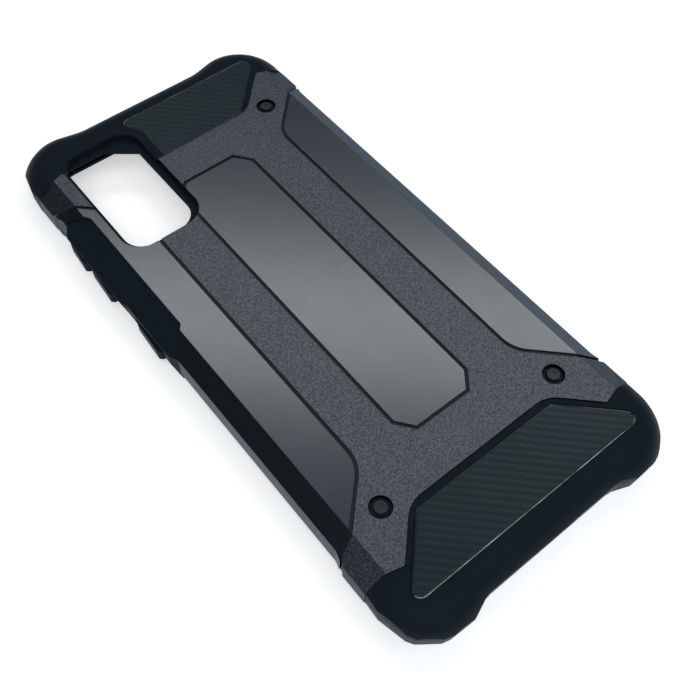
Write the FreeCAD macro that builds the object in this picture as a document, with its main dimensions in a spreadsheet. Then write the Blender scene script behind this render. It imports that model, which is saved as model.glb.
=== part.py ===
import FreeCAD, Part
import math
import os

import Sketcher
from FreeCAD import Placement, Rotation, Vector

# A two-layer armour case for a slim phone: a soft sleeve that holds the phone, and a hard shell that snaps
# over its back. Millimetres. Z = 0 is the front rim the case lies on and +Z points out of its back, +Y to the
# phone's top, +X to the side without keys. The origin is the middle of the front rim.

# ---------------------------------------------------------------- driving dimensions
SIZES = [
    # the phone and the space for it
    ("phone_length", 151.7), ("phone_width", 69.1), ("phone_depth", 7.9),
    ("phone_gap", 0.15), ("pocket_corner", 10.0), ("pocket_back_edge", 2.5),
    ("lip_height", 0.9), ("lip_overhang", 1.2), ("lip_corner", 9.0),
    # the whole case
    ("full_height", 11.45), ("end_height", 10.95), ("parting_gap", 0.06),
    # back shell: section across the case
    ("shell_back", 1.35), ("skirt_thick", 1.2), ("skirt_low", 2.9), ("shell_edge", 0.18),
    ("strip_half", 33.3), ("side_half", 37.52), ("side_drop", 2.64),
    # back shell: outline seen from behind
    ("edge_top", 55.5), ("edge_bottom", 56.8), ("edge_half", 19.9), ("edge_round", 8.0),
    ("leg_half", 38.45), ("leg_start", 54.6), ("leg_full", 58.0), ("leg_bend", 4.0),
    ("leg_tip", 65.0), ("leg_toe", 66.2), ("toe_half", 34.2),
    ("camera_left", 29.85), ("camera_right", 8.35), ("camera_low", 32.6), ("camera_round", 5.9),
    ("notch_in", 32.3), ("notch_low", 8.8), ("notch_high", 48.5), ("notch_bend", 0.7), ("notch_foot", 1.3),
    ("notch_top", 53.9), ("notch_bottom", 2.6),
    # back shell: grooves between its panels
    ("panel_half", 10.7), ("panel_low", 45.0), ("panel_high", 44.2),
    ("panel_cut_x", 3.3), ("panel_cut_y", 4.2),
    ("band_half", 22.5), ("band_knee", 43.4), ("band_edge_y", 54.2), ("band_end_y", 60.0),
    ("groove_wide", 0.9), ("groove_deep", 0.35),
    # studs
    ("stud_x", 25.2), ("stud_y", 53.9), ("stud_hole", 2.6), ("stud_collar", 2.25), ("stud_head", 1.45),
    ("stud_sink", 0.6), ("stud_step", 0.75), ("stud_dimple", 0.8), ("dimple_deep", 0.15),
    # sleeve: walls that lean out from the front rim to their widest level
    ("rim_half", 37.52), ("leg_rim_half", 38.35), ("rim_edge", 0.4), ("lean", 0.65), ("widest_high", 5.45),
    ("bumper_x", 38.6), ("bumper_y", 81.85), ("end_half", 80.0),
    # sleeve: the smooth crown over the ends and corners, lower between the bumpers
    ("crown_x", 39.8), ("crown_y", 82.5), ("crown_corner", 14.0), ("crown_round", 7.0),
    ("crown_end_y", 80.8), ("crown_neck", 18.0), ("crown_shoulder", 25.0), ("crown_bend", 12.0),
    # sleeve: camera opening
    ("hole_left", 28.7), ("hole_right", 10.3), ("hole_low", 34.0), ("hole_high", 67.9), ("hole_round", 5.5),
    ("hole_cut_x", 7.2), ("hole_cut_y", 5.7),
    ("well_gap", 0.25), ("well_low", 32.9), ("well_high", 69.9), ("well_floor", 9.3),
    ("bead_wide", 1.3), ("bead_high", 11.3), ("bead_edge", 0.3), ("bead_start", 57.6),
    # inlays
    ("inlay_ridge", 1.6), ("top_ridge", 0.6), ("inlay_half", 19.7),
    ("inlay_corner_x", 31.9), ("inlay_far", 73.4),
    ("inlay_thick", 0.55), ("inlay_gap", 0.05),
    ("inlay_left_top", 6.2), ("inlay_step_x", 4.0), ("inlay_step_y", 6.5),
    ("inlay_corner", 2.0), ("inlay_bend", 1.5), ("inlay_edge", 0.15),
    # button block and keys
    ("block_root", 31.0), ("block_low_x", 38.5), ("block_high_x", 39.15), ("block_foot", 37.1),
    ("block_step_y", 23.3), ("block_rise", 1.3), ("block_top", 50.0), ("block_bottom", 5.0),
    ("block_drop", 0.451), ("block_brow", 7.5), ("block_edge", 0.3), ("slope_spare", 1.5),
    ("key_middle", 4.85), ("key_tall", 3.6), ("key_gap", 0.08), ("key_flange", 0.7), ("flange_thick", 0.8),
    ("flange_back", 35.1), ("flange_room", 36.0), ("volume_face", 39.7), ("power_face", 39.4),
    ("key_tilt", 0.6), ("key_lead", 0.6), ("key_edge", 0.4), ("moat_wide", 0.7), ("moat_floor", 37.85),
    # openings in the two ends
    ("slot_middle", 4.1), ("port_wide", 12.6), ("port_tall", 5.1), ("slot_round", 1.3),
    ("speaker_near", 10.5), ("speaker_far", 22.5), ("speaker_tall", 2.7),
    ("mic_x", 12.5), ("mic_radius", 0.9),
]
STUD_PLACES = (("right_top", 1, 1), ("right_bottom", 1, -1), ("left_bottom", -1, -1))
# each key: name, lower end and upper end along the side, the alias of its crown's distance from the middle
KEYS = (
    ("volume_up_key", 40.9, 49.1, "volume_face"),
    ("volume_down_key", 29.0, 38.9, "volume_face"),
    ("power_key", 8.0, 18.7, "power_face"),
)
FAR = 120
TINY = 0.01
NEAR = 0.05

doc = FreeCAD.newDocument("phone_case")
sheet = doc.addObject("Spreadsheet::Sheet", "Sizes")
KEY_SIZES = [size for name, low, high, _face in KEYS
             for size in ((f"{name}_low", low), (f"{name}_high", high))]
for row, (alias, number) in enumerate(SIZES + KEY_SIZES, start=1):
    sheet.set(f"A{row}", alias)
    sheet.set(f"B{row}", str(number))
    sheet.setAlias(f"B{row}", alias)
doc.recompute()
ALIASES = {alias for alias, _number in SIZES + KEY_SIZES}


# ---------------------------------------------------------------- helpers
def bound(words):
    """An expression in sheet aliases, written for FreeCAD: each alias gets the sheet's name before it."""
    pieces, word = [], ""
    for letter in words + " ":
        if letter.isalnum() or letter in "_.":
            word += letter
            continue
        pieces.append("Sizes." + word if word in ALIASES else word)
        pieces.append(letter)
        word = ""
    return "".join(pieces).strip()


def value(words):
    return float(sheet.evalExpression(bound(words)))


def mirrored(points, across="x"):
    """The same outline points on the other side of the YZ plane (across x) or the XZ plane (across y)."""
    if across == "x":
        return [(f"-({x})", y) for x, y in reversed(points)]
    return [(x, f"-({y})") for x, y in reversed(points)]


def outset(points, gap):
    """The outline moved outwards by the named gap: each corner along its two edges' normals."""
    spots = [Vector(value(x), value(y), 0) for x, y in points]
    count = len(spots)
    turn = sum(spots[i].cross(spots[(i + 1) % count]).z for i in range(count))
    moved = []
    for i, (x, y) in enumerate(points):
        before = (spots[i] - spots[i - 1]).normalize()
        after = (spots[(i + 1) % count] - spots[i]).normalize()
        side = 1 if turn > 0 else -1
        normal_a = Vector(before.y, -before.x, 0) * side
        normal_b = Vector(after.y, -after.x, 0) * side
        shift = (normal_a + normal_b) * (1 / (1 + normal_a.dot(normal_b)))
        moved.append((f"{x} + {gap} * ({shift.x:.6f})", f"{y} + {gap} * ({shift.y:.6f})"))
    return moved


def plane_of(body, role):
    return next(feature for feature in body.Origin.OriginFeatures if feature.Role == role)


def new_body(name):
    body = doc.addObject("PartDesign::Body", name)
    body.Label = name
    return body


def sketch_on(body, name, role="XY_Plane", lift="0"):
    sketch = body.newObject("Sketcher::SketchObject", name)
    sketch.AttachmentSupport = (plane_of(body, role), [""])
    sketch.MapMode = "FlatFace"
    sketch.setExpression(".AttachmentOffset.Base.z", bound(lift))
    return sketch


def fix(sketch, kind, geometry, corner, words):
    number = sketch.addConstraint(Sketcher.Constraint(kind, geometry, corner, value(words)))
    sketch.setExpression(f"Constraints[{number}]", bound(words))


def draw_outline(sketch, points):
    """A closed outline of straight edges, each corner held by the sheet."""
    first = sketch.GeometryCount
    spots = [Vector(value(x), value(y), 0) for x, y in points]
    for i, spot in enumerate(spots):
        sketch.addGeometry(Part.LineSegment(spot, spots[(i + 1) % len(spots)]), False)
    for i, (x, y) in enumerate(points):
        following = first + (i + 1) % len(points)
        sketch.addConstraint(Sketcher.Constraint("Coincident", first + i, 2, following, 1))
        fix(sketch, "DistanceX", first + i, 1, x)
        fix(sketch, "DistanceY", first + i, 1, y)


def draw_circle(sketch, x, y, radius):
    number = sketch.GeometryCount
    centre = Vector(value(x), value(y), 0)
    sketch.addGeometry(Part.Circle(centre, Vector(0, 0, 1), value(radius)), False)
    fix(sketch, "DistanceX", number, 3, x)
    fix(sketch, "DistanceY", number, 3, y)
    constraint = sketch.addConstraint(Sketcher.Constraint("Radius", number, value(radius)))
    sketch.setExpression(f"Constraints[{constraint}]", bound(radius))


def pad(body, name, outlines, length, role="XY_Plane", lift="0", both_ways=False):
    sketch = sketch_on(body, name + "_outline", role, lift)
    for outline in outlines:
        draw_outline(sketch, outline)
    feature = body.newObject("PartDesign::Pad", name)
    feature.Profile = sketch
    feature.SideType = "Symmetric" if both_ways else "One side"
    feature.setExpression("Length", bound(length))
    doc.recompute()
    return feature


def cut_through(body, name, outlines, role="XY_Plane"):
    """A cut along the plane's normal, both ways, through the whole body; it must take something away."""
    volume = body.Shape.Volume
    sketch = sketch_on(body, name + "_outline", role)
    for outline in outlines:
        draw_outline(sketch, outline)
    feature = body.newObject("PartDesign::Pocket", name)
    feature.Profile = sketch
    feature.SideType = "Symmetric"
    feature.Length = 4 * FAR
    doc.recompute()
    if not body.Shape.Volume < volume - 0.01:
        raise RuntimeError(f"{name} cut nothing")
    return feature


def edges_where(shape, wanted):
    """Names of the edges whose two end points the test wants."""
    found = []
    for number, edge in enumerate(shape.Edges, start=1):
        if len(edge.Vertexes) > 1 and wanted(edge.Vertexes[0].Point, edge.Vertexes[-1].Point):
            found.append(f"Edge{number}")
    return found


def round_edges(body, name, wanted, radius, at_least=1):
    """A fillet on the edges of the body that the test wants."""
    names = edges_where(body.Shape, wanted)
    if len(names) < at_least:
        raise RuntimeError(f"{name}: only {len(names)} edges")
    base = body.Tip
    feature = body.newObject("PartDesign::Fillet", name)
    feature.Base = (base, names)
    feature.setExpression("Radius", bound(radius))
    doc.recompute()
    if "Invalid" in feature.State:
        raise RuntimeError(f"{name} failed: {feature.getStatusString()}")
    return feature


def round_uprights(body, name, corners, radius):
    """A fillet on the upright edges that stand over the given outline corners."""
    spots = [(value(x), value(y)) for x, y in corners]

    def stands_there(low, high):
        upright = math.hypot(low.x - high.x, low.y - high.y) < TINY
        return upright and any(math.hypot(low.x - x, low.y - y) < NEAR for x, y in spots)

    return round_edges(body, name, stands_there, radius, len(spots))


def along_y_at(x_words, z_words):
    """A test for edges that run along Y through one place in the XZ plane."""
    x, z = value(x_words), value(z_words)

    def lies_there(one, other):
        return all(abs(point.x - x) < TINY and abs(point.z - z) < TINY for point in (one, other))

    return lies_there


def level_at(words):
    """A test for edges that lie at one height."""
    height = value(words)
    return lambda one, other: abs(one.z - height) < TINY and abs(other.z - height) < TINY


def cut(name, base, *tools):
    """base less every tool, as one boolean."""
    tool = tools[0]
    if len(tools) > 1:
        tool = doc.addObject("Part::MultiFuse", name + "_tools")
        tool.Shapes = list(tools)
    feature = doc.addObject("Part::Cut", name)
    feature.Base, feature.Tool = base, tool
    feature.Label = name
    doc.recompute()
    return feature


def common(name, first, second):
    feature = doc.addObject("Part::MultiCommon", name)
    feature.Shapes = [first, second]
    doc.recompute()
    return feature


def fuse(name, *shapes):
    feature = doc.addObject("Part::MultiFuse", name)
    feature.Shapes = list(shapes)
    feature.Refine = True
    doc.recompute()
    return feature


# ---------------------------------------------------------------- outlines shared by shell and sleeve
def leg_side(edge):
    """One leg's outline from the end edge to the middle of the side, for the end at +Y and the +X side."""
    toe_x = f"leg_toe - {edge} + edge_half"
    return [("edge_half", edge), (toe_x, "leg_toe"), ("toe_half", "leg_tip"), ("leg_half", "leg_tip"),
            ("leg_half", "leg_full"), ("side_half", "leg_start")]


def notch_points():
    """The gap that the button block fills, from its top end to its bottom end."""
    return [("-side_half", "notch_top"), ("-notch_in - notch_bend", "notch_high + 2 * notch_bend"),
            ("-notch_in", "notch_high"), ("-notch_in", "notch_low"),
            ("-notch_in - notch_foot", "notch_low - 1.2 * notch_foot"), ("-side_half", "notch_bottom")]


def shell_outline():
    top, bottom = leg_side("edge_top"), leg_side("edge_bottom")
    return (top + mirrored(bottom, "y") + [(f"-({x})", f"-({y})") for x, y in bottom]
            + list(reversed(notch_points())) + mirrored(top))


def chamfer_wedges(drop="0"):
    """The two wedges that the sloping sides take off, in the plane across the case."""
    slope = "side_drop / (side_half - strip_half)"
    wedge = [("strip_half", f"full_height - {drop}"),
             ("strip_half + 20", f"full_height - {drop} - 20 * {slope}"),
             ("strip_half + 20", "full_height + 20"), ("strip_half", "full_height + 20")]
    return [wedge, mirrored(wedge)]


def core_section(shrink="0"):
    """The section of the sleeve's middle, which is the shell's inside, smaller all round by shrink."""
    slope = "side_drop / (side_half - strip_half)"
    flat_z = f"full_height - shell_back - {shrink}"
    # the sloping inner face lies skirt_thick under the outer one, measured square to it
    reach = f"(skirt_thick + {shrink}) * sqrt(1 + pow({slope}; 2))"
    flat_x = f"strip_half + (shell_back + {shrink} - {reach}) / ({slope})"
    wall_x = f"side_half - skirt_thick - {shrink}"
    wall_z = f"full_height - {reach} - (side_half - skirt_thick - {shrink} - strip_half) * {slope}"
    half = [(flat_x, flat_z), (wall_x, wall_z), (wall_x, "-5")]
    return half + mirrored(half)


# ---------------------------------------------------------------- back shell
def groove_path(side):
    """The middle of the groove between a side strip and the skeleton, from the +Y end to the -Y end."""
    knee = [("strip_half", "band_edge_y"), ("band_half", "band_knee"), ("band_half", "-band_knee"),
            ("strip_half", "-band_edge_y")]
    whole = [("leg_half + 4", "band_end_y")] + knee + [("leg_half + 4", "-band_end_y")]
    return [(f"{side} * ({x})", y) for x, y in whole]


def channel(path, wide):
    """The outline of a channel of the named width along an open path."""
    spots = [Vector(value(x), value(y), 0) for x, y in path]
    left, right = [], []
    for i, (x, y) in enumerate(path):
        before = (spots[i] - spots[i - 1]).normalize() if i else (spots[1] - spots[0]).normalize()
        after = (spots[i + 1] - spots[i]).normalize() if i + 1 < len(path) else before
        normal_a, normal_b = Vector(-before.y, before.x, 0), Vector(-after.y, after.x, 0)
        shift = (normal_a + normal_b) * (0.5 / (1 + normal_a.dot(normal_b)))
        left.append((f"{x} + {wide} * ({shift.x:.6f})", f"{y} + {wide} * ({shift.y:.6f})"))
        right.append((f"{x} - {wide} * ({shift.x:.6f})", f"{y} - {wide} * ({shift.y:.6f})"))
    return left + right[::-1]


def panel_outline():
    quarter = [("panel_half - panel_cut_x", "panel_high"), ("panel_half", "panel_high - panel_cut_y")]
    lower = [("panel_half", "-panel_low + panel_cut_y"), ("panel_half - panel_cut_x", "-panel_low")]
    return quarter + lower + mirrored(quarter + lower)


def make_grooves(blank_outline):
    """The grooves between the shell's panels: channels seen from behind, cut into the shell's outer skin."""
    channels = new_body("groove_channels")
    panel = panel_outline()
    rims = [outset(panel, "0.5 * groove_wide"), outset(panel, "-0.5 * groove_wide")]
    sides = [channel(groove_path(side), "groove_wide") for side in (1, -1)]
    pad(channels, "groove_pad", rims + sides, "full_height + 5")
    knees = [(x, y) for outline in sides for x, y in outline
             if abs(abs(value(y)) - value("band_knee")) < 1 and abs(abs(value(x)) - value("band_half")) < 1]
    round_uprights(channels, "groove_knees", knees, "edge_round")

    skin = new_body("groove_skin")
    pad(skin, "skin_pad", [outset(blank_outline, "groove_deep")], "full_height + 5")
    core = new_body("groove_core")
    pad(core, "core_pad", [outset(blank_outline, "-groove_deep")], "full_height - groove_deep + 5", lift="-5")
    cut_through(core, "core_sides", chamfer_wedges("groove_deep * 1.15"), "XZ_Plane")
    return common("grooves", channels, cut("groove_layer", skin, core))


def make_shell():
    body = new_body("shell_blank")
    outline = shell_outline()
    pad(body, "shell_pad", [outline], "full_height - skirt_low", lift="skirt_low")
    cut_through(body, "shell_sides", chamfer_wedges(), "XZ_Plane")
    cut_through(body, "shell_inside", [core_section()], "XZ_Plane")
    cut_through(body, "camera_cutout", [[("-camera_left", "camera_low"), ("-camera_right", "camera_low"),
                                         ("-camera_right", "leg_toe + 9"), ("-camera_left", "leg_toe + 9")]])
    round_uprights(body, "camera_corners", [("-camera_left", "camera_low"), ("-camera_right", "camera_low")],
                   "camera_round")
    round_uprights(body, "end_edge_corners", [("edge_half", "edge_top"), ("edge_half", "-edge_bottom"),
                                              ("-edge_half", "-edge_bottom")], "edge_round")
    round_uprights(body, "leg_bends", [(x, y) for x in ("leg_half", "-leg_half")
                                       for y in ("leg_full", "-leg_full")], "leg_bend")
    round_edges(body, "shell_soft_edges", level_at("full_height"), "shell_edge", 10)

    holes = new_body("stud_holes")
    sketch = sketch_on(holes, "stud_hole_outline", lift="skirt_low")
    for _name, side, end in STUD_PLACES:
        draw_circle(sketch, f"{side} * stud_x", f"{end} * stud_y", "stud_hole")
    drill = holes.newObject("PartDesign::Pad", "stud_hole_pad")
    drill.Profile = sketch
    drill.setExpression("Length", bound("full_height"))
    doc.recompute()
    return cut("back_shell", body, holes, make_grooves(outline))


# ---------------------------------------------------------------- studs
def make_studs():
    """Round studs: a collar that stands on the sleeve inside the shell's hole, and a smaller dimpled head."""
    body = new_body("retaining_studs")
    floor = "full_height - shell_back - parting_gap - stud_sink"
    levels = (("collar", "stud_collar", floor, "full_height - stud_step"),
              ("head", "stud_head", floor, "full_height"))
    for name, radius, low, high in levels:
        sketch = sketch_on(body, name + "_outline", lift=low)
        for _name, side, end in STUD_PLACES:
            draw_circle(sketch, f"{side} * stud_x", f"{end} * stud_y", radius)
        feature = body.newObject("PartDesign::Pad", name)
        feature.Profile = sketch
        feature.setExpression("Length", bound(f"{high} - ({low})"))
        doc.recompute()
    sketch = sketch_on(body, "dimple_outline", lift="full_height")
    for _name, side, end in STUD_PLACES:
        draw_circle(sketch, f"{side} * stud_x", f"{end} * stud_y", "stud_dimple")
    dimple = body.newObject("PartDesign::Pocket", "dimple")
    dimple.Profile = sketch
    dimple.setExpression("Length", bound("dimple_deep"))
    doc.recompute()
    return body


# ---------------------------------------------------------------- inlays
def bottom_inlay_outline():
    near = "edge_bottom + inlay_ridge"
    half = [("inlay_half", f"-({near})"), ("inlay_corner_x", f"-({near} + inlay_corner_x - inlay_half)"),
            ("inlay_corner_x", "-inlay_far")]
    return half + mirrored(half)


def top_inlay_outline():
    near = "edge_top + top_ridge"
    bend_x = "inlay_half - inlay_ridge + top_ridge"
    return [("-inlay_left_top", near), (bend_x, near),
            ("inlay_corner_x", f"{near} + inlay_corner_x - ({bend_x})"), ("inlay_corner_x", "inlay_far"),
            ("-inlay_left_top - inlay_step_x", "inlay_far"), ("-inlay_left_top", "inlay_far - inlay_step_y")]


def inlay_block(name, outline, end, thickness, gap="0"):
    """A plate of the inlay's outline, its corners rounded; end is the sign of Y at its far edge."""
    body = new_body(name)
    shape = outset(outline, gap)
    pad(body, name + "_pad", [shape], thickness, lift="end_height - inlay_thick")
    far_edge = end * value(f"inlay_far + {gap}")
    far_corners = [(x, y) for x, y in shape if abs(value(y) - far_edge) < TINY]
    bends = [(x, y) for x, y in shape if (x, y) not in far_corners and value(x) > 0]
    round_uprights(body, name + "_far_corners", far_corners, f"inlay_corner + {gap}")
    round_uprights(body, name + "_bends", bends, "inlay_bend")
    return body


def make_inlay(name, outline, end):
    body = inlay_block(name, outline, end, "inlay_thick")
    round_edges(body, name + "_soft_edge", level_at("end_height"), "inlay_edge", 6)
    return body


# ---------------------------------------------------------------- keys
def key_box(name, length, tall, near, far):
    """A block beside the -X wall: length is (low, high) along Y; near and far are distances from X = 0."""
    low, high = length
    body = new_body(name)
    half = f"0.5 * ({tall})"
    pad(body, name + "_pad", [[(low, f"key_middle - {half}"), (high, f"key_middle - {half}"),
                               (high, f"key_middle + {half}"), (low, f"key_middle + {half}")]],
        f"({far}) - ({near})", "YZ_Plane", f"-({far})")
    return body


def make_key(name, face):
    low, high = f"{name}_low", f"{name}_high"
    body = new_body(name)
    crown = [("-flange_back", f"{low} + key_gap"), ("-flange_back", f"{high} - key_gap"),
             (f"-{face} + key_tilt", f"{high} - key_gap"), (f"-{face}", f"{low} + key_gap + key_lead"),
             (f"-{face} + key_lead", f"{low} + key_gap")]
    tall = "key_tall - 2 * key_gap"
    pad(body, name + "_crown", [crown], tall, lift=f"key_middle - 0.5 * ({tall})")
    block_face = value("block_low_x")
    round_edges(body, name + "_soft_edges",
                lambda one, other: min(-one.x, -other.x) > block_face, "key_edge", 6)
    sketch = sketch_on(body, name + "_flange_outline", "YZ_Plane", "-flange_back - flange_thick")
    half = "(0.5 * key_tall + key_flange - key_gap)"
    ends = (f"{low} - key_flange + key_gap", f"{high} + key_flange - key_gap")
    draw_outline(sketch, [(ends[0], f"key_middle - {half}"), (ends[1], f"key_middle - {half}"),
                          (ends[1], f"key_middle + {half}"), (ends[0], f"key_middle + {half}")])
    flange = body.newObject("PartDesign::Pad", name + "_flange")
    flange.Profile = sketch
    flange.setExpression("Length", bound("flange_thick"))
    doc.recompute()
    return body


def key_windows():
    """What the sleeve gives up for each key: its window, its flange's room, and a shallow moat outside."""
    windows = []
    for name, _low, _high, _face in KEYS:
        low, high = f"{name}_low", f"{name}_high"
        windows.append(key_box(name + "_window", (low, high), "key_tall",
                               "phone_width / 2 - 1", "bumper_x + 4"))
        windows.append(key_box(name + "_flange_room", (f"{low} - key_flange", f"{high} + key_flange"),
                               "key_tall + 2 * key_flange", "phone_width / 2 - 1", "flange_room"))
        windows.append(key_box(name + "_moat", (f"{low} - moat_wide", f"{high} + moat_wide"),
                               "key_tall + 2 * moat_wide", "moat_floor", "bumper_x + 4"))
    return windows


# ---------------------------------------------------------------- soft sleeve
def bumper_side():
    """One corner at its widest level, from the end wall round to the leg, for the +X +Y corner."""
    return [("bumper_x - 20.8", "end_half"), ("bumper_x - 18.9", "end_half + 0.2"),
            ("bumper_x - 14.6", "bumper_y"), ("bumper_x - 9.3", "bumper_y - 0.2"),
            ("bumper_x - 7.2", "bumper_y - 0.8"), ("bumper_x - 2.7", "bumper_y - 4.2"),
            ("bumper_x - 1.6", "bumper_y - 6.0"), ("bumper_x", "leg_tip + 4.0"),
            ("leg_rim_half", "leg_tip + 0.2"), ("leg_rim_half", "leg_full"), ("rim_half", "leg_start")]


def sleeve_outline():
    side = bumper_side()
    return side + mirrored(side, "y") + [(f"-({x})", f"-({y})") for x, y in side] + mirrored(side)


def leaning_walls():
    """The sleeve's whole outline: walls that lean out up to the widest level and stand upright above it."""
    body = new_body("sleeve_walls")
    widest = sleeve_outline()
    foot = sketch_on(body, "rim_outline")
    draw_outline(foot, outset(widest, "-lean"))
    level = sketch_on(body, "widest_outline", lift="widest_high")
    draw_outline(level, widest)
    loft = body.newObject("PartDesign::AdditiveLoft", "leaning_part")
    loft.Profile = foot
    loft.Sections = [level]
    loft.Ruled = True
    doc.recompute()
    pad(body, "upright_part", [widest], "end_height - widest_high", lift="widest_high")
    round_edges(body, "rim_round", level_at("0"), "rim_edge", 20)
    return body


def sleeve_crown():
    """The smooth body that shapes the top of the ends and corners: large roundings and no folds."""
    body = new_body("sleeve_crown")
    quarter = [("crown_neck", "crown_end_y"), ("crown_shoulder", "crown_y"), ("crown_x", "crown_y")]
    half = quarter + mirrored(quarter, "y")
    outline = half + mirrored(half)
    pad(body, "crown_pad", [outline], "end_height")
    corners = [(x, y) for x, y in outline if abs(value(x)) > value("crown_shoulder + 1")]
    round_uprights(body, "crown_corners", corners, "crown_corner")
    round_uprights(body, "crown_bends", [point for point in outline if point not in corners], "crown_bend")
    round_edges(body, "crown_top", level_at("end_height"), "crown_round", 8)
    return body


def notch_slope():
    """What the walls give up in the notch, so that the block's sloping top is the highest surface there."""
    body = new_body("notch_slope")
    section = [("-notch_in", "end_height"), ("-notch_in - 20", "end_height - 20 * block_drop"),
               ("-notch_in - 20", "full_height"), ("-notch_in", "full_height")]
    pad(body, "notch_slope_pad", [section], "notch_top - notch_bottom + 2 * slope_spare", "XZ_Plane",
        "-notch_top - slope_spare")
    return body


def button_block():
    """The block in the shell's notch: its top slopes out to a brow, and its wall runs in below that."""
    plan = new_body("block_plan")
    outline = [("-block_root", "notch_bottom - 1"), ("-side_half", "notch_bottom + 0.2"),
               ("-block_low_x", "block_bottom"), ("-block_low_x", "block_step_y"),
               ("-block_high_x", "block_step_y + block_rise"), ("-block_high_x", "block_top"),
               ("-side_half", "notch_top - 1.5"), ("-block_root", "notch_top")]
    pad(plan, "block_plan_pad", [outline], "end_height")
    profile = new_body("block_profile")
    section = [("-block_root", "0"), ("-block_foot", "0"), ("-block_high_x", "block_brow"),
               ("-block_high_x", "end_height - block_drop * (block_high_x - notch_in)"),
               ("-notch_in", "end_height"), ("-block_root", "end_height")]
    pad(profile, "block_profile_pad", [section], "phone_length", "XZ_Plane", both_ways=True)
    round_edges(profile, "block_brow_round", along_y_at("-block_high_x", "block_brow"), "block_edge")
    return common("button_block", plan, profile)


def phone_space():
    """The hollow that the phone fills, and the smaller opening inside the lip."""
    body = new_body("phone_space")
    x, y = "phone_width / 2 + phone_gap", "phone_length / 2 + phone_gap"
    box = [(x, y), (x, f"-({y})"), (f"-({x})", f"-({y})"), (f"-({x})", y)]
    pad(body, "phone_space_pad", [box], "phone_depth + 0.05", lift="lip_height")
    round_uprights(body, "phone_corners", box, "pocket_corner")
    round_edges(body, "phone_back_edge", level_at("lip_height + phone_depth + 0.05"), "pocket_back_edge", 8)

    opening = new_body("lip_opening")
    inner = outset(box, "-lip_overhang")
    pad(opening, "lip_opening_pad", [inner], "lip_height + 2", lift="-1")
    round_uprights(opening, "lip_opening_corners", inner, "lip_corner")
    return [body, opening]


def camera_outline(left, right, low, high):
    return [(f"-({left})", low), (f"-({right})", low), (f"-({right})", high), (f"-({left})", high)]


def camera_tools():
    """The hole that the camera looks through, its inner top corner cut off, and the wider well above it."""
    hole = new_body("camera_hole")
    low_left, low_right, high_right, high_left = camera_outline("hole_left", "hole_right",
                                                                "hole_low", "hole_high")
    cut_corner = [(high_right[0], "hole_high - hole_cut_y"), ("-hole_right - hole_cut_x", "hole_high")]
    pad(hole, "camera_hole_pad", [[low_left, low_right, *cut_corner, high_left]], "full_height",
        lift="lip_height + phone_depth - 1")
    round_uprights(hole, "camera_hole_corners", [low_left, low_right], "hole_round")
    well = new_body("camera_well")
    outline = camera_outline("camera_left - well_gap", "camera_right + well_gap", "well_low", "well_high")
    pad(well, "camera_well_pad", [outline], "full_height", lift="well_floor")
    round_uprights(well, "camera_well_corners", outline, "camera_round")
    return [hole, well]


def camera_bead():
    """The raised bead round the top of the camera opening."""
    body = new_body("camera_bead")
    outline = camera_outline("camera_left - well_gap + bead_wide", "camera_right + well_gap - bead_wide",
                             "bead_start", "well_high + bead_wide")
    pad(body, "camera_bead_pad", [outline], "bead_high - well_floor", lift="well_floor")
    round_uprights(body, "camera_bead_corners", outline[2:], "camera_round + bead_wide")
    round_edges(body, "camera_bead_top", level_at("bead_high"), "bead_edge", 5)
    return body


def end_openings():
    """The charging port and loudspeaker slot in the -Y end, and a microphone hole in each end."""
    slots = new_body("end_slots")
    spans = [("-0.5 * port_wide", "0.5 * port_wide", "port_tall"),
             ("-speaker_far", "-speaker_near", "speaker_tall")]
    outlines = [[(left, f"slot_middle - 0.5 * {tall}"), (right, f"slot_middle - 0.5 * {tall}"),
                 (right, f"slot_middle + 0.5 * {tall}"), (left, f"slot_middle + 0.5 * {tall}")]
                for left, right, tall in spans]
    pad(slots, "slots", outlines, "port_wide", "XZ_Plane", "phone_length / 2 - 2")
    runs_along_y = (lambda one, other: abs(one.x - other.x) < TINY and abs(one.z - other.z) < TINY)
    round_edges(slots, "slot_corners", runs_along_y, "slot_round", 8)
    openings = [slots]
    for name, end in (("top", 1), ("bottom", -1)):
        hole = doc.addObject("Part::Cylinder", name + "_microphone")
        hole.setExpression("Radius", bound("mic_radius"))
        hole.Height = 20
        start = Vector(value("mic_x"), end * value("phone_length / 2 - 2"), value("slot_middle"))
        hole.Placement = Placement(start, Rotation(Vector(1, 0, 0), -90 * end))
        openings.append(hole)
    return openings


def shell_room():
    """The space that the shell takes from the sleeve, a gap larger all round."""
    room = new_body("shell_room_outline")
    blank = shell_outline()
    outline = outset(blank, "parting_gap")
    pad(room, "room_pad", [outline], "full_height", lift="skirt_low - parting_gap")
    bends = [("edge_half", "edge_top"), ("edge_half", "-(edge_bottom)"), ("-(edge_half)", "-(edge_bottom)")]
    round_uprights(room, "room_corners", [outline[blank.index(bend)] for bend in bends], "edge_round")
    core = new_body("sleeve_core")
    pad(core, "core_length", [core_section("parting_gap")], "3 * phone_length", "XZ_Plane", both_ways=True)
    return cut("shell_room", room, core)


def stud_seats():
    """Shallow round pits that the studs stand in."""
    seats = doc.addObject("Part::MultiFuse", "stud_seats")
    pits = []
    for name, side, end in STUD_PLACES:
        pit = doc.addObject("Part::Cylinder", "stud_seat_" + name)
        pit.setExpression("Radius", bound("stud_collar"))
        pit.Height = 5
        floor = value("full_height - shell_back - parting_gap - stud_sink")
        pit.Placement = Placement(Vector(side * value("stud_x"), end * value("stud_y"), floor), Rotation())
        pits.append(pit)
    seats.Shapes = pits
    doc.recompute()
    return seats


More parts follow.
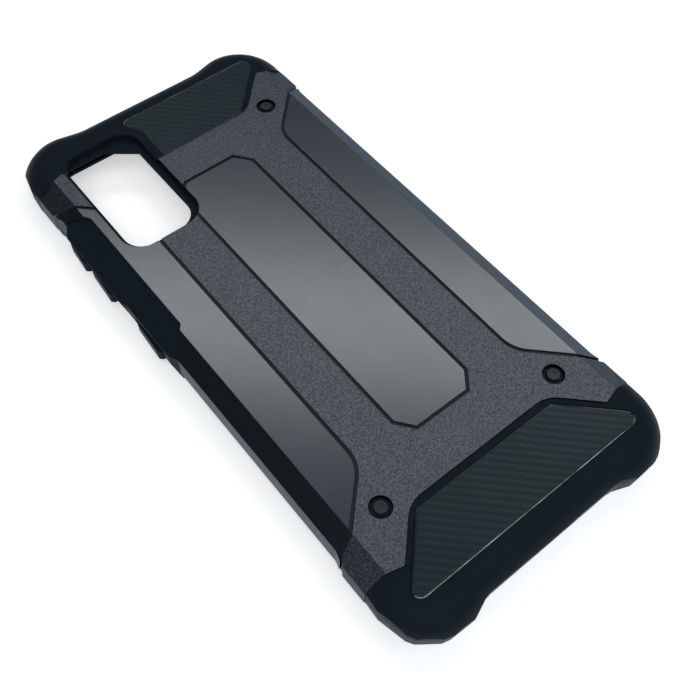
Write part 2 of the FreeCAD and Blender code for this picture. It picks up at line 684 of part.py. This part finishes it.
def make_sleeve():
    crowned = common("crowned_walls", leaning_walls(), sleeve_crown())
    sloped = cut("sloped_walls", crowned, notch_slope())
    solid = fuse("solid_sleeve", sloped, button_block(), camera_bead())
    tools = [shell_room(), stud_seats()] + phone_space() + camera_tools() + end_openings() + key_windows()
    for name, outline, end in (("top_inlay_seat", top_inlay_outline(), 1),
                               ("bottom_inlay_seat", bottom_inlay_outline(), -1)):
        tools.append(inlay_block(name, outline, end, "full_height", "inlay_gap"))
    return cut("soft_sleeve", solid, *tools)


# ---------------------------------------------------------------- the whole case
pieces = [make_sleeve(), make_shell(), make_studs()]
pieces.append(make_inlay("top_inlay", top_inlay_outline(), 1))
pieces.append(make_inlay("bottom_inlay", bottom_inlay_outline(), -1))
pieces += [make_key(name, face) for name, _low, _high, face in KEYS]
doc.recompute()

failed = [item.Name for item in doc.Objects if "Invalid" in item.State or "Error" in item.State]
if failed:
    raise RuntimeError(f"these objects failed: {failed}")
for piece in pieces:
    if piece.Shape.isNull() or not piece.Shape.isValid():
        raise RuntimeError(f"{piece.Label} has no valid shape")
os.makedirs("parts", exist_ok=True)
for piece in pieces:
    piece.Shape.exportStep(f"parts/{piece.Label}.step")
    print(f"{piece.Label}: {len(piece.Shape.Solids)} solid(s), {piece.Shape.Volume:.1f} mm3")
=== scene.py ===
import math

import bmesh
import bpy
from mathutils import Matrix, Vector, geometry


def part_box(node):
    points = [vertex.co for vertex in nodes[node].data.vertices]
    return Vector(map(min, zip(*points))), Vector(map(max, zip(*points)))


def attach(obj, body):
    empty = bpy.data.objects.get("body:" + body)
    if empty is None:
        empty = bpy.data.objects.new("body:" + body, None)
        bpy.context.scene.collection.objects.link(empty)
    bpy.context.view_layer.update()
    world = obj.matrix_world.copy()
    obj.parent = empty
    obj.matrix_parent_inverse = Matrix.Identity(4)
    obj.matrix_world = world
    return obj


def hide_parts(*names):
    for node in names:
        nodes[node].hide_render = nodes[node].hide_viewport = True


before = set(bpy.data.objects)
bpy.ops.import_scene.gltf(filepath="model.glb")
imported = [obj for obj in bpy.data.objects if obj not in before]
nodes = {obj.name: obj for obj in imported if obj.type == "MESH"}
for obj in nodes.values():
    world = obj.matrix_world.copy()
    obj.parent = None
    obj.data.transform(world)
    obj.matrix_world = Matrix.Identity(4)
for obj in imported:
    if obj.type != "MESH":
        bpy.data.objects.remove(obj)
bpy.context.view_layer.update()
MM = 0.001


# ---------------------------------------------------------------- the case's own lines, in metres
FULL_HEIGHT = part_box("back_shell")[1].z
# the groove between a side strip and the skeleton, for one quarter of the back
BAND_HALF = 22.5 * MM
BAND_KNEE_Y = 43.4 * MM
STRIP_HALF = 33.3 * MM
BAND_EDGE_Y = 54.2 * MM
BAND_SIDE_SLOPE = (60.0 - 54.2) / (42.45 - 33.3)
GROOVE_DEEP = 0.35 * MM
# how far the studs' collars lie below their heads, and the play allowed when they are told apart
STUD_STEP = 0.75 * MM
STUD_PLAY = 0.1 * MM
# how near to the grooves' depth the floor of a groove lies
GROOVE_PLAY = 0.02 * MM
# the least height that the normal of a level face has, and of a face that looks upwards at all
FLAT_UP = 0.9
FACING_UP = 0.1
# the octagonal centre panel
PANEL_HALF = 10.7 * MM
PANEL_LOW = -45.0 * MM
PANEL_HIGH = 44.2 * MM
PANEL_CUT_X = 3.3 * MM
PANEL_CUT_Y = 4.2 * MM
# the woven look of the inlays: width of one tow, and the smooth rounded lip around the weave
TOW = 0.6 * MM
TOW_CROWN = 0.035 * MM
WEAVE_SINK = 0.10 * MM
LIP_WIDE = 0.45 * MM
LIP_CREST = 0.25 * MM
LIP_HIGH = 0.09 * MM
LIP_START = 58.6 * MM
LIP_FADE = 1.2 * MM
LIP_RINGS = 9
# the share of its height that a tow keeps where it dips under the next one
TOW_DIP = 0.4
# painted highlight: a pale band on the lip's outer shoulder, along its far side and round the two far
# corners, between the two insets below
HIGHLIGHT_EDGE_Y = 71.9 * MM
HIGHLIGHT_EDGE_IN = 0.04 * MM
HIGHLIGHT_EDGE_OUT = 0.20 * MM
# the grid of the woven field, and the room kept between it and the lip, as a share of a grid step
WEAVE_STEP = 0.2 * MM
WEAVE_ROOM = 0.4
# mesh corners closer than this are one corner, and outline points closer than this are thinned out
WELD = 0.001 * MM
POINT_GAP = 0.05 * MM
# the most that one softening step takes off a corner of an inlay's outline
CORNER_CUT = 0.25 * MM
# the least share of a step that a mitre is divided by, which keeps a sharp corner from running away
MITRE_LEAST = 0.5
# how near two points of the triangulated inlay must be to count as one, in metres
MESH_TOLERANCE = 1e-7

# where the camera stands, how it is turned in degrees, and its lens
CAMERA_PLACE = (-0.07766, -0.10292, 0.18466)
CAMERA_TURN = (32.480, -0.832, -38.962)
CAMERA_LENS = 47.494
# the bearing, in degrees from +X towards +Y, of the soft box that the back reflects
BAND_BEARING = 48
# the bearing and height angle of the room's dark corner
DARK_CORNER = (143, 15)
# how closely a direction matches the dark corner where the room starts and where it finishes darkening,
# and the share of the light that is left there
DARK_START = 0.45
DARK_FULL = 0.80
DARK_LEVEL = 0.22
# the room's brightness from the lowest to the highest direction, and its cool tint
ROOM_STOPS = ((0.0, 0.30), (0.60, 0.19), (0.70, 0.20), (0.77, 0.30), (0.83, 0.58), (0.87, 0.26), (1.0, 0.20))
ROOM_TINT = (0.80, 0.98, 1.14)
BACKDROP = (0.90, 0.90, 0.90, 1)
FLOOR_SIZE = 6.0
# the floor lies a hair below the rim, so that the two don't share a plane
FLOOR_GAP = 0.1 * MM


# ---------------------------------------------------------------- camera, light and floor
def make_camera():
    data = bpy.data.cameras.new("camera")
    data.lens = CAMERA_LENS
    data.sensor_width = 36.0
    data.clip_start = 0.01
    camera = bpy.data.objects.new("camera", data)
    camera.location = CAMERA_PLACE
    camera.rotation_euler = [math.radians(angle) for angle in CAMERA_TURN]
    bpy.context.scene.collection.objects.link(camera)
    bpy.context.scene.camera = camera


def direction(azimuth, elevation):
    """The unit vector at a bearing (degrees from +X towards +Y) and a height angle."""
    turn, lift = math.radians(azimuth), math.radians(elevation)
    return Vector((math.cos(lift) * math.cos(turn), math.cos(lift) * math.sin(turn), math.sin(lift)))


def area_light(name, azimuth, elevation, distance, size, power, colour=(1, 1, 1)):
    """A soft box that looks at the case from a bearing and a height angle."""
    away = direction(azimuth, elevation)
    data = bpy.data.lights.new(name, "AREA")
    data.shape = "RECTANGLE"
    data.size, data.size_y = size
    data.energy = power
    data.color = colour
    light = bpy.data.objects.new(name, data)
    light.location = away * distance
    light.rotation_euler = away.to_track_quat("Z", "Y").to_euler()
    bpy.context.scene.collection.objects.link(light)


def make_world():
    """A soft room, brightest in a band high up, with one dark corner. The camera sees a pale backdrop."""
    world = bpy.data.worlds.new("studio")
    world.use_nodes = True
    bpy.context.scene.world = world
    tree = world.node_tree
    tree.nodes.clear()
    output = tree.nodes.new("ShaderNodeOutputWorld")
    where = tree.nodes.new("ShaderNodeTexCoord")
    split = tree.nodes.new("ShaderNodeSeparateXYZ")
    ramp = tree.nodes.new("ShaderNodeValToRGB")
    room = tree.nodes.new("ShaderNodeBackground")
    backdrop = tree.nodes.new("ShaderNodeBackground")
    path = tree.nodes.new("ShaderNodeLightPath")
    mix = tree.nodes.new("ShaderNodeMixShader")
    while len(ramp.color_ramp.elements) < len(ROOM_STOPS):
        ramp.color_ramp.elements.new(0.5)
    for element, (place, level) in zip(ramp.color_ramp.elements, ROOM_STOPS):
        element.position = place
        element.color = (*(level * part for part in ROOM_TINT), 1)
    facing = tree.nodes.new("ShaderNodeVectorMath")
    facing.operation = "DOT_PRODUCT"
    facing.inputs[1].default_value = direction(*DARK_CORNER)
    side = tree.nodes.new("ShaderNodeMapRange")
    side.inputs["From Min"].default_value = DARK_START
    side.inputs["From Max"].default_value = DARK_FULL
    side.inputs["To Min"].default_value = 1.0
    side.inputs["To Max"].default_value = DARK_LEVEL
    tree.links.new(where.outputs["Generated"], facing.inputs[0])
    tree.links.new(facing.outputs["Value"], side.inputs["Value"])
    tree.links.new(side.outputs["Result"], room.inputs["Strength"])
    backdrop.inputs["Color"].default_value = BACKDROP
    tree.links.new(where.outputs["Generated"], split.inputs[0])
    tree.links.new(split.outputs["Z"], ramp.inputs["Fac"])
    tree.links.new(ramp.outputs["Color"], room.inputs["Color"])
    tree.links.new(path.outputs["Is Camera Ray"], mix.inputs[0])
    tree.links.new(room.outputs[0], mix.inputs[1])
    tree.links.new(backdrop.outputs[0], mix.inputs[2])
    tree.links.new(mix.outputs[0], output.inputs["Surface"])


def make_floor():
    bpy.ops.mesh.primitive_plane_add(size=FLOOR_SIZE, location=(0, 0, -FLOOR_GAP))
    floor = bpy.context.active_object
    floor.name = "floor"
    material = bpy.data.materials.new("floor_white")
    material.use_nodes = True
    shader = material.node_tree.nodes["Principled BSDF"]
    shader.inputs["Base Color"].default_value = (0.86, 0.86, 0.86, 1)
    shader.inputs["Roughness"].default_value = 0.9
    shader.inputs["Specular IOR Level"].default_value = 0.2
    shader.inputs["Emission Color"].default_value = (1, 1, 1, 1)
    shader.inputs["Emission Strength"].default_value = 0.50
    floor.data.materials.append(material)


# ---------------------------------------------------------------- materials
class Shader:
    """A small helper that builds one node material."""

    def __init__(self, name, roughness, metallic=0.0):
        self.material = bpy.data.materials.new(name)
        self.material.use_nodes = True
        self.tree = self.material.node_tree
        self.surface = self.tree.nodes["Principled BSDF"]
        self.surface.inputs["Roughness"].default_value = roughness
        self.surface.inputs["Metallic"].default_value = metallic
        self.place = self.node("ShaderNodeTexCoord").outputs["Object"]
        self.height = None

    def node(self, kind, **settings):
        made = self.tree.nodes.new(kind)
        for name, setting in settings.items():
            setattr(made, name, setting)
        return made

    def join(self, output, target):
        self.tree.links.new(output, target)

    def noise(self, feature_mm, detail=2.0, rough=0.5):
        """Noise whose blotches are about feature_mm across."""
        made = self.node("ShaderNodeTexNoise")
        made.inputs["Scale"].default_value = 1.0 / (feature_mm * MM)
        made.inputs["Detail"].default_value = detail
        made.inputs["Roughness"].default_value = rough
        self.join(self.place, made.inputs["Vector"])
        return made.outputs["Fac"]

    def spread(self, source, low, high, from_low=0.0, from_high=1.0):
        made = self.node("ShaderNodeMapRange")
        made.inputs["From Min"].default_value = from_low
        made.inputs["From Max"].default_value = from_high
        made.inputs["To Min"].default_value = low
        made.inputs["To Max"].default_value = high
        self.join(source, made.inputs["Value"])
        return made.outputs["Result"]

    def blend(self, amount, low, high):
        made = self.node("ShaderNodeMix", data_type="RGBA")
        for socket, colour in ((made.inputs[6], low), (made.inputs[7], high)):
            socket.default_value = (*colour, 1)
        self.join(amount, made.inputs[0])
        return made.outputs[2]

    def mingle(self, amount, low, high):
        """The mix of two colour outputs."""
        made = self.node("ShaderNodeMix", data_type="RGBA")
        for socket, source in ((made.inputs[0], amount), (made.inputs[6], low), (made.inputs[7], high)):
            self.join(source, socket)
        return made.outputs[2]

    def math(self, operation, *values):
        made = self.node("ShaderNodeMath", operation=operation)
        for socket, given in zip(made.inputs, values):
            if isinstance(given, float):
                socket.default_value = given
            else:
                self.join(given, socket)
        return made.outputs[0]

    def steps(self, source, wide):
        """Counts the strips of a width that lie before a place."""
        return self.math("FLOOR", self.math("DIVIDE", source, wide))

    def stripes(self, source, wide):
        """A wave from 0 to 1 that repeats every width."""
        turns = self.math("MULTIPLY", source, 2 * math.pi / wide)
        return self.math("MULTIPLY_ADD", self.math("SINE", turns), 0.5, 0.5)

    def colour(self, output):
        self.join(output, self.surface.inputs["Base Color"])

    def bump(self, source, depth_mm, strength=1.0):
        made = self.node("ShaderNodeBump")
        made.inputs["Distance"].default_value = depth_mm * MM
        made.inputs["Strength"].default_value = strength
        self.join(source, made.inputs["Height"])
        if self.height is not None:
            self.join(self.height, made.inputs["Normal"])
        self.height = made.outputs["Normal"]
        self.join(self.height, self.surface.inputs["Normal"])


# how the paint's reflection is tinted where it is seen at a shallow angle
EDGE_TINT = (0.46, 0.50, 0.54, 1)


def satin_paint():
    """Gunmetal paint over smooth plastic: dark metal flake under a satin skin."""
    made = Shader("gunmetal_satin", 0.24, 0.97)
    made.surface.inputs["Specular Tint"].default_value = EDGE_TINT
    flake = made.noise(0.12, 1.0)
    glint = made.spread(flake, 0, 1, 0.35, 0.65)
    made.colour(made.blend(glint, (0.088, 0.102, 0.116), (0.116, 0.130, 0.144)))
    made.join(made.spread(made.noise(9.0, 4.0), 0.23, 0.27), made.surface.inputs["Roughness"])
    made.bump(made.noise(0.25, 3.0), 0.0025)
    return made.material


def sand_paint():
    """The same paint over a moulded sand texture."""
    made = Shader("gunmetal_sand", 0.38, 0.97)
    made.surface.inputs["Specular Tint"].default_value = EDGE_TINT
    grain = made.noise(0.42, 3.0, 0.6)
    glint = made.spread(grain, 0, 1, 0.35, 0.65)
    made.colour(made.blend(glint, (0.050, 0.059, 0.072), (0.146, 0.159, 0.182)))
    made.join(made.spread(grain, 0.34, 0.44, 0.3, 0.7), made.surface.inputs["Roughness"])
    made.bump(grain, 0.09)
    return made.material


def groove_painted_shade():
    """Painted shade: the bottom of the grooves, which has the shell's own gunmetal paint, is coloured
    near-black matt.
    """
    made = Shader("groove_shadow", 0.5, 0.7)
    made.colour(made.blend(made.noise(0.4), (0.012, 0.015, 0.019), (0.020, 0.024, 0.029)))
    made.bump(made.noise(0.3, 2.0), 0.01)
    return made.material


def soft_plastic(name, low, high):
    """Black soft plastic with the fine matte grain of its mould."""
    made = Shader(name, 0.46)
    made.surface.inputs["Specular IOR Level"].default_value = 0.05
    made.surface.inputs["Specular Tint"].default_value = (0.62, 0.86, 1.0, 1)
    made.colour(made.blend(made.noise(6.0, 5.0), low, high))
    made.join(made.spread(made.noise(4.0, 4.0), 0.40, 0.52), made.surface.inputs["Roughness"])
    made.bump(made.noise(0.18, 2.0), 0.008)
    return made.material


def stud_plastic():
    """Hard black plastic with a finer sheen than the sleeve's."""
    made = Shader("stud_plastic", 0.38)
    made.surface.inputs["Specular IOR Level"].default_value = 0.4
    made.colour(made.blend(made.noise(0.3), (0.009, 0.014, 0.018), (0.018, 0.024, 0.030)))
    made.bump(made.noise(0.2, 2.0), 0.01)
    return made.material


def carbon_film():
    """Woven carbon under a clear skin: tows that run along X and along Y take the light differently, and the
    tows on top are coloured lighter as painted sheen.
    """
    made = Shader("carbon_weave", 0.34)
    place = made.node("ShaderNodeSeparateXYZ")
    made.join(made.place, place.inputs[0])
    across, along = (made.steps(place.outputs[axis], TOW) for axis in "XY")
    over = made.math("LESS_THAN", made.math("WRAP", made.math("ADD", across, along), 4.0, 0.0), 1.5)
    threads = [made.stripes(place.outputs[axis], TOW / 6) for axis in "XY"]
    thread = made.node("ShaderNodeMix")
    for index, source in ((0, over), (2, threads[1]), (3, threads[0])):
        made.join(source, thread.inputs[index])
    greener = made.spread(made.noise(14.0, 2.0), 0, 1, 0.42, 0.62)
    dark_tow = made.blend(greener, (0.0024, 0.0046, 0.0088), (0.0016, 0.0062, 0.0056))
    # painted sheen: the tows on top are coloured lighter than those under them
    sheen_tow = made.blend(greener, (0.0090, 0.0142, 0.0240), (0.0062, 0.0168, 0.0168))
    made.colour(made.mingle(over, dark_tow, sheen_tow))
    made.surface.inputs["Specular IOR Level"].default_value = 0.34
    made.surface.inputs["Specular Tint"].default_value = (0.66, 0.98, 1.0, 1)
    made.join(made.spread(over, 0.46, 0.32), made.surface.inputs["Roughness"])
    made.surface.inputs["Coat Weight"].default_value = 0.12
    made.surface.inputs["Coat Roughness"].default_value = 0.22
    made.bump(thread.outputs[0], 0.004)
    return made.material


def lip_gloss():
    """The clear glossy bead that borders the woven field."""
    made = Shader("inlay_lip", 0.17)
    made.colour(made.blend(made.noise(3.0, 3.0), (0.0030, 0.0058, 0.0086), (0.0048, 0.0082, 0.0116)))
    made.join(made.spread(made.noise(2.0, 3.0), 0.08, 0.16), made.surface.inputs["Roughness"])
    made.bump(made.noise(0.6, 2.0), 0.004)
    return made.material


def painted_highlight_edge():
    """Painted highlight: a pale band on the lip's outer shoulder, paler in some places than in others."""
    made = Shader("painted_highlight_edge", 0.3)
    cloud = made.spread(made.noise(5.0, 3.0, 0.6), 0, 1, 0.40, 0.62)
    # painted highlight: the pale colour of the band on the lip's outer shoulder
    made.colour(made.blend(cloud, (0.07, 0.09, 0.10), (0.55, 0.60, 0.62)))
    made.bump(made.noise(0.3, 2.0), 0.01)
    return made.material


# ---------------------------------------------------------------- which face wears what
def set_material(node, material):
    node.data.materials.clear()
    node.data.materials.append(material)


def band_limit(y):
    """How far from the middle the skeleton's groove lies at a distance |y| along the back."""
    if y < BAND_KNEE_Y:
        return BAND_HALF
    if y < BAND_EDGE_Y:
        return BAND_HALF + (y - BAND_KNEE_Y) * (STRIP_HALF - BAND_HALF) / (BAND_EDGE_Y - BAND_KNEE_Y)
    return STRIP_HALF + (y - BAND_EDGE_Y) / BAND_SIDE_SLOPE


def in_centre_panel(x, y):
    if abs(x) > PANEL_HALF or not PANEL_LOW < y < PANEL_HIGH:
        return False
    to_end = min(y - PANEL_LOW, PANEL_HIGH - y)
    return (PANEL_HALF - abs(x)) / PANEL_CUT_X + to_end / PANEL_CUT_Y > 1


def dress_shell(shell, satin, sand, groove):
    """Gives each face of the back shell the finish of its panel."""
    mesh = shell.data
    set_material(shell, satin)
    mesh.materials.append(sand)
    mesh.materials.append(groove)
    for face in mesh.polygons:
        x, y, z = face.center
        outside = face.normal.z > FACING_UP or abs(x) > STRIP_HALF
        # the groove floors get the near-black painted shade
        in_groove = abs(FULL_HEIGHT - GROOVE_DEEP - z) < GROOVE_PLAY and face.normal.z > FLAT_UP
        if in_groove:
            face.material_index = 2
        elif outside and not in_centre_panel(x, y) and abs(x) < band_limit(abs(y)):
            face.material_index = 1


def dress_studs(studs, head, collar):
    """The heads stand in the light; the collars around them lie deep in the shell's holes, and their darker,
    duller black is painted shade.
    """
    set_material(studs, head)
    studs.data.materials.append(collar)
    for face in studs.data.polygons:
        if face.center.z < FULL_HEIGHT - STUD_STEP + STUD_PLAY:
            face.material_index = 1


# ---------------------------------------------------------------- carbon inlays
def lower_outline(node):
    """The corners of a plate's flat underside, in order and anticlockwise, as plane points."""
    mesh = bmesh.new()
    mesh.from_mesh(node.data)
    bmesh.ops.remove_doubles(mesh, verts=mesh.verts, dist=WELD)
    floor = min(corner.co.z for corner in mesh.verts)
    # a list, because the order of a set of faces changes from run to run, and with it the first point
    under = [face for face in mesh.faces
             if all(abs(corner.co.z - floor) < WELD for corner in face.verts)]
    after = {}
    for face in under:
        for loop in face.loops:
            if any(other not in under for other in loop.edge.link_faces):
                after[loop.link_loop_next.vert] = loop.vert
    start = next(iter(after))
    ring = [start]
    while after[ring[-1]] != start:
        ring.append(after[ring[-1]])
    outline = [Vector(corner.co.xy) for corner in ring]
    mesh.free()
    return soften(soften(thin_out(outline)))


def thin_out(outline):
    """Drops points that lie closer together than a tessellation needs."""
    kept = [outline[0]]
    for point in outline[1:]:
        if (point - kept[-1]).length > POINT_GAP:
            kept.append(point)
    return kept


def soften(outline):
    """Cuts each corner of the outline a little, so that its round corners aren't faceted."""
    cut = []
    for index, point in enumerate(outline):
        for other in (outline[index - 1], outline[(index + 1) % len(outline)]):
            away = other - point
            cut.append(point + away.normalized() * min(CORNER_CUT, away.length / 4))
    return cut


def inset(outline, by):
    """The outline moved inwards; its corners are mitred."""
    moved = []
    for index, point in enumerate(outline):
        before = (point - outline[index - 1]).normalized()
        after = (outline[(index + 1) % len(outline)] - point).normalized()
        inward = Vector((-before.y - after.y, before.x + after.x)).normalized()
        moved.append(point + inward * by / max(MITRE_LEAST, inward.dot(Vector((-before.y, before.x)))))
    return moved


def inside(point, outline):
    """Whether a ray from the point crosses the outline an odd number of times."""
    crossings = 0
    for index, corner in enumerate(outline):
        last = outline[index - 1]
        if (corner.y > point.y) != (last.y > point.y):
            crossings += point.x < last.x + (corner.x - last.x) * (point.y - last.y) / (corner.y - last.y)
    return crossings % 2 == 1


def weave_height(x, y):
    """Crowned tows of a two-by-two twill: each dips where it goes under the next one."""
    column, row = math.floor(x / TOW), math.floor(y / TOW)
    phase = (column + row) % 4
    on_top = phase < 2
    across = (x if on_top else y) / TOW - (column if on_top else row)
    along = ((y if on_top else x) / TOW - (row if on_top else column) + phase % 2) / 2
    return TOW_CROWN * math.sin(math.pi * across) * (TOW_DIP + (1 - TOW_DIP) * math.sin(math.pi * along))


def lip_height(away, y):
    """The lip over the sunk field: a rounded outer shoulder, then a gentle fall to the field.

    It fades out towards the edge beside the shell."""
    share = min(1.0, max(0.0, (abs(y) - LIP_START) / LIP_FADE))
    if away < LIP_CREST:
        return share * LIP_HIGH - LIP_CREST + math.sqrt(LIP_CREST ** 2 - (LIP_CREST - away) ** 2)
    return share * LIP_HIGH * (LIP_WIDE - away) / (LIP_WIDE - LIP_CREST)


def finish_index(centre, inner, shoulder):
    """Which finish a face of an inlay has: 0 woven, 1 glossy lip, 2 painted highlight on the lip's outer
    shoulder.
    """
    if inside(centre, inner):
        return 0
    on_edge = not inside(centre, shoulder[1]) and inside(centre, shoulder[0])
    return 2 if on_edge and abs(centre.y) > HIGHLIGHT_EDGE_Y else 1


def weave_inlay(name, *finishes):
    """A plate of the inlay's outline whose face is a sunk woven field inside a rounded glossy lip.

    The finishes are those that finish_index counts."""
    low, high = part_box(name)
    outline = lower_outline(nodes[name])
    points, edges, heights = [], [], []
    field = high.z - WEAVE_SINK
    for part in range(LIP_RINGS + 1):
        away = LIP_WIDE * part / LIP_RINGS
        ring = inset(outline, away)
        first = len(points)
        points += ring
        edges += [(first + index, first + (index + 1) % len(ring)) for index in range(len(ring))]
        heights += [field + lip_height(away, point.y) for point in ring]
    inner = inset(outline, LIP_WIDE + WEAVE_ROOM * WEAVE_STEP)
    # the band of the lip's outer shoulder that carries the painted highlight
    shoulder = [inset(outline, HIGHLIGHT_EDGE_IN), inset(outline, HIGHLIGHT_EDGE_OUT)]
    for column in range(math.floor(low.x / WEAVE_STEP), math.ceil(high.x / WEAVE_STEP)):
        for row in range(math.floor(low.y / WEAVE_STEP), math.ceil(high.y / WEAVE_STEP)):
            point = Vector(((column + 0.5) * WEAVE_STEP, (row + 0.5) * WEAVE_STEP))
            if inside(point, inner):
                points.append(point)
                heights.append(field + weave_height(point.x, point.y))
    made = geometry.delaunay_2d_cdt(points, edges, [list(range(len(outline)))], 1, MESH_TOLERANCE)
    spots, faces, sources = made[0], made[2], made[3]
    mesh = bmesh.new()
    tops = [mesh.verts.new((spot.x, spot.y, heights[source[0]] if source else field))
            for spot, source in zip(spots, sources)]
    for face in faces:
        mesh.faces.new([tops[index] for index in face])
    mesh.normal_update()
    for face in mesh.faces:
        if face.normal.z < 0:
            face.normal_flip()
        face.material_index = finish_index(face.calc_center_median().xy, inner, shoulder)
        face.smooth = True
    rim = [edge for edge in mesh.edges if edge.is_boundary]
    walls = bmesh.ops.extrude_edge_only(mesh, edges=rim)["geom"]
    for corner in (part for part in walls if isinstance(part, bmesh.types.BMVert)):
        corner.co.z = low.z
    bottom = [edge for edge in mesh.edges if edge.is_boundary]
    bmesh.ops.contextual_create(mesh, geom=bottom, mat_nr=1)
    bmesh.ops.recalc_face_normals(mesh, faces=mesh.faces)
    data = bpy.data.meshes.new(name + "_weave")
    mesh.to_mesh(data)
    mesh.free()
    for finish in finishes:
        data.materials.append(finish)
    piece = bpy.data.objects.new(name + "_weave", data)
    bpy.context.scene.collection.objects.link(piece)
    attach(piece, "sleeve")
    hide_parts(name)


# ---------------------------------------------------------------- the scene
make_camera()
make_world()
make_floor()
area_light("band_softbox", BAND_BEARING, 57, distance=0.9, size=(1.1, 0.13), power=1.6,
           colour=(1.0, 0.94, 0.82))
area_light("key_softbox", 235, 57, distance=1.0, size=(0.8, 0.8), power=4.2)
area_light("edge_softbox", -48, 58, distance=1.0, size=(0.3, 0.15), power=0.7)

black = soft_plastic("sleeve_black", (0.0072, 0.0124, 0.0180), (0.0102, 0.0164, 0.0228))
# the keys, of the same soft plastic as the sleeve, get a slightly darker copy of its black: painted shade
shaded_key_black = soft_plastic("shaded_key_black", (0.0068, 0.0118, 0.0172), (0.0096, 0.0156, 0.0218))
dress_shell(nodes["back_shell"], satin_paint(), sand_paint(), groove_painted_shade())
set_material(nodes["soft_sleeve"], black)
# the studs' collars get the sleeve's black as painted shade in the shell's holes
dress_studs(nodes["retaining_studs"], stud_plastic(), black)
for name in ("volume_up_key", "volume_down_key", "power_key"):
    set_material(nodes[name], shaded_key_black)
inlay_finishes = (carbon_film(), lip_gloss(), painted_highlight_edge())
for name in ("top_inlay", "bottom_inlay"):
    weave_inlay(name, *inlay_finishes)

bpy.context.scene.view_settings.view_transform = "Standard"
